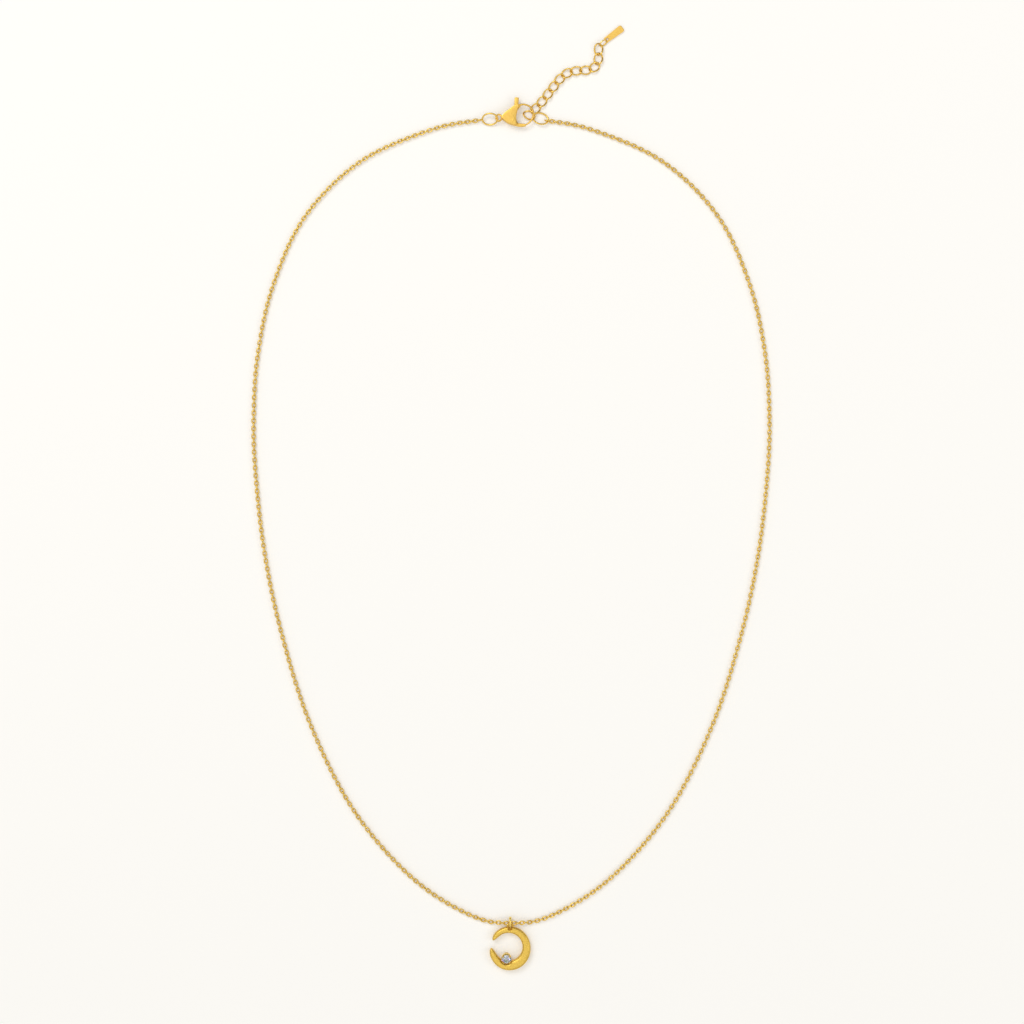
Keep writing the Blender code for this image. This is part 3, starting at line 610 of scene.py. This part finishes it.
def brilliant():
    """Corners and faces of the cut. Table corners lie at whole eighths of a turn and the star
    corners between them, at the height that keeps each kite flat. The pavilion is worked the
    same way from its point. In the faces, the letters are the first numbers of the table, star,
    upper girdle, lower girdle and pavilion corners, and the last corner is the point."""
    eighth = np.arange(8) * math.pi / 4
    between = eighth + math.pi / 8
    sixteenth = np.arange(16) * math.pi / 8
    r = STONE_RADIUS

    def circle(angles, radius, height):
        return np.stack([radius * np.cos(angles), radius * np.sin(angles), 0 * angles + height], -1)

    slant = math.cos(math.pi / 8)
    star_z = CROWN - (STAR_REACH * slant - TABLE) / (1 - TABLE) * (CROWN - GIRDLE_HALF)
    lower_z = -PAVILION + PAVILION_REACH * slant * (PAVILION - GIRDLE_HALF)
    points = np.concatenate([
        circle(eighth, TABLE * r, CROWN), circle(between, STAR_REACH * r, star_z),
        circle(sixteenth, r, GIRDLE_HALF), circle(sixteenth, r, -GIRDLE_HALF),
        circle(between, PAVILION_REACH * r, lower_z), [(0.0, 0.0, -PAVILION)]])
    k = np.arange(8)
    n = (k + 1) % 8
    before = (k - 1) % 8
    t, s, g, h, p, point = 0, 8, 16, 32, 48, 56
    faces = [list(range(8))]
    faces += np.stack([t + k, s + k, t + n], -1).tolist()
    faces += np.stack([t + k, s + before, g + 2 * k, s + k], -1).tolist()
    faces += np.stack([s + k, g + 2 * k, g + 2 * k + 1], -1).tolist()
    faces += np.stack([s + k, g + 2 * k + 1, g + (2 * k + 2) % 16], -1).tolist()
    j = np.arange(16)
    faces += np.stack([g + j, h + j, h + (j + 1) % 16, g + (j + 1) % 16], -1).tolist()
    faces += np.stack([p + k, h + 2 * k + 1, h + 2 * k], -1).tolist()
    faces += np.stack([p + k, h + (2 * k + 2) % 16, h + 2 * k + 1], -1).tolist()
    faces += np.stack([0 * k + point, p + k, h + 2 * k, p + before], -1).tolist()
    return points + (0.0, 0.0, GIRDLE), faces


# Painted fire: coloured glints of light, painted cell by cell into the clear stone's base colour.
PAINTED_FIRE_GRAIN = 1900.0
PAINTED_FIRE_STOPS = ((0.5, (0.42, 0.70, 0.78)), (0.66, (0.9, 0.93, 1.0)), (0.84, (0.60, 0.34, 0.74)))


def clear_cut_stone():
    """Clear stone with its fire painted in: pale blue, teal and violet tints stand in for the
    coloured glints of light that it throws. The tint is one of five, picked by the random colour of
    each cell of a fine cell pattern."""
    material = bpy.data.materials.new("clear_cut_stone")
    material.use_nodes = True
    tree = material.node_tree
    shader = tree.nodes["Principled BSDF"]
    shader.inputs["Roughness"].default_value = 0.02
    shader.inputs["IOR"].default_value = 1.9
    shader.inputs["Transmission Weight"].default_value = 0.8
    place = tree.nodes.new("ShaderNodeTexCoord")
    painted_fire_cells = tree.nodes.new("ShaderNodeTexVoronoi")
    painted_fire_cells.inputs["Scale"].default_value = PAINTED_FIRE_GRAIN
    tree.links.new(place.outputs["Object"], painted_fire_cells.inputs["Vector"])
    tint = tree.nodes.new("ShaderNodeValToRGB")
    tint.color_ramp.interpolation = "CONSTANT"
    tint.color_ramp.elements[0].color = (0.80, 0.88, 1.0, 1.0)
    tint.color_ramp.elements[1].position = 0.3
    tint.color_ramp.elements[1].color = (0.95, 0.97, 1.0, 1.0)
    for position, colour in PAINTED_FIRE_STOPS:
        stop = tint.color_ramp.elements.new(position)
        stop.color = (*colour, 1.0)
    apart = tree.nodes.new("ShaderNodeSeparateColor")
    tree.links.new(painted_fire_cells.outputs["Color"], apart.inputs["Color"])
    tree.links.new(apart.outputs["Red"], tint.inputs["Fac"])
    tree.links.new(tint.outputs["Color"], shader.inputs["Base Color"])
    return material


points, faces = brilliant()
mesh = bpy.data.meshes.new("brilliant_stone")
mesh.from_pydata(in_setting(points).tolist(), [], outward(points - points.mean(axis=0), faces))
mesh.update()
add_piece("brilliant_stone", mesh, clear_cut_stone(), "clear_stone", "moon", "stone")

# ---- Jump rings ---------------------------------------------------------------------------------
# Two oval rings of round gold wire, opened and closed again with pliers: one joins the chain to the
# clasp's eye, the other the chain's far end to the first extender link.
ring_gold = gold_finish(
    "polished_ring_gold", (0.93, 0.65, 0.17), (0.80, 0.52, 0.11), 0.24, 0.16 * MM, 0.002 * MM)
RING_WIRE = 0.18 * MM
END_LINK_TOP = (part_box("chain_left_end_link")[1].z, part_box("chain_right_end_link")[1].z)

# Each row holds the side, the middle in plan, the outer length and width, the turn and the roll in
# degrees, the heights of the ring's left and right ends, and the angle of its seam.
JUMP_RINGS = (
    ("left", (-4.58, 170.95), (3.6, 2.8), 2.0, 20.0, (END_LINK_TOP[0] / 2, 1.0 * MM), 100.0),
    ("right", (6.16, 171.12), (3.7, 2.8), -19.0, -13.0, (0.47 * MM, END_LINK_TOP[1] / 2), 250.0),
)
for side, place, size, turn_deg, roll_deg, heights, seam in JUMP_RINGS:
    half = (size[0] / 2 * MM - RING_WIRE, size[1] / 2 * MM - RING_WIRE)
    pitch = math.degrees(math.atan2(heights[0] - heights[1], 2 * half[0]))
    centre = layout + (place[0] * MM, place[1] * MM, sum(heights) / 2)
    mesh = surface_mesh(f"jump_ring_{side}", [wire_ring(
        centre, half, RING_WIRE, 14, seam=seam, turn=turn_deg, roll=roll_deg, pitch=pitch,
        count=72)])
    add_piece(mesh.name, mesh, ring_gold, "ring_gold", f"ring_{side}", f"ring_{side}")

# ---- Lobster clasp ------------------------------------------------------------------------------
# A cast body of two cheeks joined at the back, with an eye and a thin hook, plated and brushed.
# The lever sits between the cheeks on a rivet, and a wire spring round the rivet holds it shut.
clasp_gold = gold_finish(
    "brushed_clasp_gold", (0.90, 0.60, 0.15), (0.81, 0.51, 0.11), 0.36, 0.10 * MM, 0.006 * MM,
    stretch=(1.0, 0.3, 1.0), turn=math.radians(20.0))
CLASP_HEIGHT = 2.0 * MM
UPPER_CHEEK = (1.40 * MM, 1.97 * MM)
LOWER_CHEEK = (0.0, 0.72 * MM)
CHEEK_WEB = (0.5 * MM, 1.6 * MM)
LEVER_HEIGHTS = (0.92 * MM, 1.32 * MM)
EDGE_ROUND = 0.12 * MM
EYE_HALF = (0.60 * MM, 0.75 * MM)
EYE_WIRE = 0.19 * MM
HOOK_HEIGHT = 1.1 * MM


def pillow(outline, centre, low, high, rounding, dome=0.0, steps=5):
    """A plate with rounded rims: the outline drawn in towards a centre point, ring by ring, while
    the height follows a quarter circle at each rim, and then a low dome across the face."""
    outline = np.asarray(outline, float)
    out = outline - centre
    reach = np.linalg.norm(out, axis=1)[:, None]
    quarter = np.linspace(0.0, math.pi / 2, steps)
    rim = [(1 - math.cos(q), 1 - math.sin(q)) for q in quarter]
    rows = []
    for z_end, way in ((low, 1.0), (high, -1.0)):
        side = []
        for share in (0.04, 0.3, 0.6, 0.85):
            inset = reach - rounding
            bulge = dome * (1 - share**2)
            side.append((inset * share, z_end - way * bulge))
        for drawn, depth in rim[::-1]:
            side.append((reach - rounding * drawn, z_end + way * rounding * depth))
        rows += side if way > 0 else side[::-1]
    level = np.ones((len(out), 1))
    rings = [np.hstack([centre + out / reach * along, z * level]) for along, z in rows]
    return np.array(rings), False


def layout_points(points):
    """Plan places given in millimetres from the chain's lowest point, in the necklace's frame."""
    return MM * np.asarray(points, float) + layout[:2]


body_outline = np.vstack([
    smooth_line([(-2.1, 171.5), (-1.35, 172.3), (-0.45, 173.0), (0.6, 173.75), (1.62, 174.0)], 6),
    smooth_line([(1.66, 173.6), (1.3, 172.9), (1.02, 171.6), (1.1, 170.5), (1.35, 170.0)], 6),
    smooth_line([(0.95, 169.6), (0.25, 169.7), (-0.75, 170.05), (-1.55, 170.6), (-2.1, 171.1)], 6),
])
body_centre = layout_points((-0.1, 172.4))
cheek = layout_points(body_outline)
back_web = layout_points([(-2.05, 171.45), (-1.4, 172.15), (-0.95, 172.5), (-0.95, 171.8),
                          (-0.6, 170.9), (-0.45, 170.0), (-1.2, 170.45), (-2.05, 171.1)])
hook_web = layout_points([(1.5, 173.0), (1.5, 173.9), (1.9, 174.05), (1.95, 173.75)])
hook_line = smooth_line([
    (1.5, 173.84), (2.4, 174.02), (3.2, 173.9), (3.95, 173.5), (4.5, 172.8), (4.62, 171.9),
    (4.42, 171.1), (4.02, 170.4), (3.45, 169.95), (3.2, 169.82)], 5)
hook_line = np.hstack([layout_points(hook_line), np.full((len(hook_line), 1), HOOK_HEIGHT)])
hook_wire = np.interp(
    np.linspace(0, 1, len(hook_line)), [0, 0.2, 0.8, 1], MM * np.array([0.22, 0.20, 0.18, 0.16]))
eye_centre = np.array((*layout_points((-2.7, 171.2)), CLASP_HEIGHT / 2))
clasp_parts = [
    pillow(cheek, body_centre, *UPPER_CHEEK, EDGE_ROUND, dome=0.03 * MM),
    pillow(cheek, body_centre, *LOWER_CHEEK, EDGE_ROUND),
    pillow(back_web, back_web.mean(axis=0), *CHEEK_WEB, 0.05 * MM),
    pillow(hook_web, hook_web.mean(axis=0), *CHEEK_WEB, 0.05 * MM),
    wire_ring(eye_centre, EYE_HALF, EYE_WIRE, 14, roll=-16.0),
    wire(hook_line, hook_wire, 14, looped=False),
]
mesh = surface_mesh("clasp_body_and_hook", clasp_parts)
add_piece("clasp_body_and_hook", mesh, clasp_gold, "clasp_gold", "clasp_body", "clasp_body")

lever_spine = smooth_line([
    (1.10, 175.35), (1.06, 174.6), (0.94, 173.6), (0.60, 172.5), (0.36, 171.4), (0.32, 170.6),
    (0.72, 169.95), (1.45, 169.66), (2.2, 169.60), (2.85, 169.62)], 6)
lever_width = np.interp(
    np.linspace(0, 1, len(lever_spine)), [0, 0.08, 0.3, 0.5, 0.62, 0.75, 0.9, 1.0],
    MM * np.array([0.46, 0.46, 0.42, 0.46, 0.44, 0.38, 0.36, 0.30]))


def strap(spine, half_width, low, high):
    """A flat bar along a spine: a rounded-corner section, wide in plan and as high as the two
    heights. Its first end is square with small rounded corners, and its last is a half circle."""
    spine = np.asarray(spine, float)
    heading = np.gradient(spine, axis=0)
    heading /= np.linalg.norm(heading, axis=1)[:, None]
    angle = np.radians([84.0, 60.0, 35.0, 15.0])[:, None]
    spine = np.vstack([spine[0] - 0.15 * MM * np.sin(angle) * heading[0], spine,
                       spine[-1] + half_width[-1] * np.sin(angle[::-1]) * heading[-1]])
    heading = np.vstack([[heading[0]] * 4, heading, [heading[-1]] * 4])
    half_width = np.concatenate([half_width[0] * np.cos(angle[:, 0])**0.4, half_width,
                                 half_width[-1] * np.cos(angle[::-1, 0])])
    t = np.linspace(0.0, 2 * math.pi, 20, endpoint=False)
    across = np.sign(np.cos(t)) * np.abs(np.cos(t))**0.45
    height = np.sign(np.sin(t)) * np.abs(np.sin(t))**0.45
    beside = np.stack([heading[:, 1], -heading[:, 0]], axis=-1)
    plan = spine[:, None] + half_width[:, None, None] * beside[:, None] * across[None, :, None]
    z = (low + high) / 2 + (high - low) / 2 * height
    z = np.broadcast_to(z[None, :, None], (*plan.shape[:2], 1))
    return np.concatenate([plan, z], axis=-1), False


mesh = surface_mesh("clasp_gate_lever", [
    strap(layout_points(lever_spine), lever_width, *LEVER_HEIGHTS)])
add_piece("clasp_gate_lever", mesh, clasp_gold, "clasp_gold", "clasp_lever", "clasp_lever")

RIVET_HEAD = 0.25 * MM
RIVET_TOP = 1.99 * MM
rivet_low, rivet_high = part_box("clasp_rivet")
rivet_centre = np.array(((rivet_low + rivet_high) / 2).to_2d())
round_edge = np.linspace(0.0, 2 * math.pi, 32, endpoint=False)
rivet_edge = rivet_centre + RIVET_HEAD * np.stack(
    [np.cos(round_edge), np.sin(round_edge)], axis=-1)
mesh = surface_mesh("clasp_pin", [
    pillow(rivet_edge, rivet_centre, rivet_low.z, RIVET_TOP, 0.06 * MM, dome=0.02 * MM)])
add_piece("clasp_pin", mesh, clasp_gold, "clasp_gold", "clasp_body", "clasp_rivet")

spring_steel = gold_finish(
    "spring_steel_wire", (0.62, 0.61, 0.59), (0.45, 0.44, 0.43), 0.3, 0.08 * MM, 0.001 * MM)
SPRING_RADIUS = 0.38 * MM
SPRING_HEIGHT = 0.82 * MM
SPRING_WIRE = 0.055 * MM
coil = np.radians(np.linspace(200.0, 500.0, 44))
spring_line = np.stack([
    rivet_centre[0] + SPRING_RADIUS * np.cos(coil), rivet_centre[1] + SPRING_RADIUS * np.sin(coil),
    0 * coil + SPRING_HEIGHT], axis=-1)
leg = spring_line[-1] + MM * np.array([(-0.12, 0.1, 0.0), (-0.24, 0.2, 0.0), (-0.35, 0.3, 0.0)])
mesh = surface_mesh("clasp_return_spring", [
    wire(np.vstack([spring_line, leg]), SPRING_WIRE, 8, looped=False)])
add_piece("clasp_return_spring", mesh, spring_steel, "spring_steel", "clasp_body", "clasp_spring")

# ---- Extender -----------------------------------------------------------------------------------
# Twelve curb links of round gold wire, each twisted so that it lies flat beside the next. The clasp
# hooks into any of them to set how long the necklace is worn.
LINK_WIRE = 0.175 * MM
LINK_PITCH = 2.02 * MM
LINK_HALF = (1.2, 0.86)
LINK_HEIGHT = 0.45 * MM
LINK_TWIST = 0.26 * MM
FIRST_LINK = {"centre": (3.76, 171.85, 0.47), "half": (1.25, 0.84), "turn": -19.0, "twist": 0.278}
extender_line = smooth_line(MM * np.array([
    (5.1, 173.2), (6.5, 174.75), (8.95, 177.9), (10.3, 179.55), (12.0, 180.85), (14.05, 181.3),
    (16.1, 181.45), (17.75, 182.15), (18.45, 183.8), (18.5, 185.8), (18.5, 187.0)]))
extender_length = np.concatenate([
    [0.0], np.cumsum(np.linalg.norm(np.diff(extender_line, axis=0), axis=1))])


def extender_place(distance):
    """The place in plan at a distance along the extender."""
    x = np.interp(distance, extender_length, extender_line[:, 0])
    y = np.interp(distance, extender_length, extender_line[:, 1])
    return np.array((x, y))


for number in range(1, 13):
    if number == 1:
        centre = layout + MM * np.array(FIRST_LINK["centre"])
        half = MM * np.array(FIRST_LINK["half"])
        turn_deg = FIRST_LINK["turn"]
        twist = FIRST_LINK["twist"] * MM
    else:
        at = (number - 2) * LINK_PITCH
        near = max(at, 0.1 * MM)
        ahead = extender_place(near + 0.05 * MM) - extender_place(near - 0.05 * MM)
        centre = layout + (*extender_place(at), LINK_HEIGHT)
        half = MM * np.array(LINK_HALF)
        turn_deg = math.degrees(math.atan2(ahead[1], ahead[0]))
        twist = LINK_TWIST
    mesh = surface_mesh(f"curb_link_{number:02d}", [wire_ring(
        centre, half, LINK_WIRE, 12, seam=70.0, turn=turn_deg, twist=twist, count=56)])
    node = f"extender_link_{number:02d}"
    add_piece(mesh.name, mesh, ring_gold, "ring_gold", node, node)

# ---- End tag ------------------------------------------------------------------------------------
# A small flat bar cut from brushed gold plate, drilled at one end, a little wider and with rounded
# corners at the other. A small jump ring joins it to the last link.
TAG_TURN = math.radians(37.0)
TAG_LENGTH = 4.6 * MM
TAG_HALF_WIDTHS = (0.575 * MM, 0.75 * MM)
TAG_HOLE_FROM_END = 0.46 * MM
TAG_HOLE = 0.34 * MM
TAG_HEIGHT = 0.4 * MM
TAG_PLACE = MM * np.array((20.30, 187.98, 0.0))
TAG_RING_PLACE = MM * np.array((19.5, 187.15, 0.60))
TAG_RING_HALF = (0.88 * MM, 0.55 * MM)
TAG_RING_WIRE = 0.14 * MM
mesh = surface_mesh("tag_jump_ring", [wire_ring(
    layout + TAG_RING_PLACE, TAG_RING_HALF, TAG_RING_WIRE, 12, seam=150.0,
    turn=math.degrees(TAG_TURN), roll=42.0)])
add_piece("tag_jump_ring", mesh, ring_gold, "ring_gold", "tag_ring", "tag_ring")


def drilled_bar(length, near_half, far_half, behind, hole, height, rounding):
    """A bar with a round hole at the origin. Its section ring runs from the hole's wall along the
    lower face, up the outer edge and back along the upper face to the hole, and the outline's
    corners are quarter circles."""
    corner_near = 0.12 * MM
    corner_far = 0.4 * MM
    quarter = np.linspace(0.0, math.pi / 2, 7)
    far = length - behind
    corners = (
        (far, far_half, corner_far), (-behind, near_half, corner_near),
        (-behind, -near_half, corner_near), (far, -far_half, corner_far))
    outline = []
    for start, (x, y, r) in enumerate(corners):
        a = quarter + start * math.pi / 2
        inward = (x - math.copysign(r, x), y - math.copysign(r, y))
        outline.append(np.stack([inward[0] + r * np.cos(a), inward[1] + r * np.sin(a)], axis=-1))
    outline = np.concatenate(outline)
    onward = (np.roll(outline, -1, axis=0) - outline)[:, None]
    quarters = np.linspace(0, 1, 4, endpoint=False)[None, :, None]
    outline = (outline[:, None] + onward * quarters).reshape(-1, 2)
    around = np.arctan2(outline[:, 1], outline[:, 0])
    wall = hole * np.stack([np.cos(around), np.sin(around)], axis=-1)
    section = []
    for z_end, way in ((0.0, 1.0), (height, -1.0)):
        face = [(wall, z_end + way * rounding), (wall * (1 + rounding / hole), z_end)]
        face += [(wall + (outline * 0.985 - wall) * s, z_end) for s in (0.35, 0.7, 1.0)]
        face.append((outline, z_end + way * rounding))
        section += face if way > 0 else face[::-1]
    rings = [np.hstack([plan, np.full((len(plan), 1), z)]) for plan, z in section]
    return np.array(rings), True


grid, looped = drilled_bar(
    TAG_LENGTH, *TAG_HALF_WIDTHS, TAG_HOLE_FROM_END, TAG_HOLE, TAG_HEIGHT, 0.04 * MM)
turned = np.array([
    (math.cos(TAG_TURN), math.sin(TAG_TURN), 0), (-math.sin(TAG_TURN), math.cos(TAG_TURN), 0),
    (0, 0, 1)])
grid = grid @ turned + layout + TAG_PLACE
tag_gold = gold_finish(
    "brushed_tag_gold", (0.90, 0.60, 0.15), (0.81, 0.51, 0.11), 0.36, 0.10 * MM, 0.006 * MM,
    stretch=(0.3, 1.0, 1.0), turn=-TAG_TURN)
mesh = surface_mesh("end_tag_bar", [(grid, looped)], smooth=False)
add_piece("end_tag_bar", mesh, tag_gold, "clasp_gold", "end_tag", "end_tag")
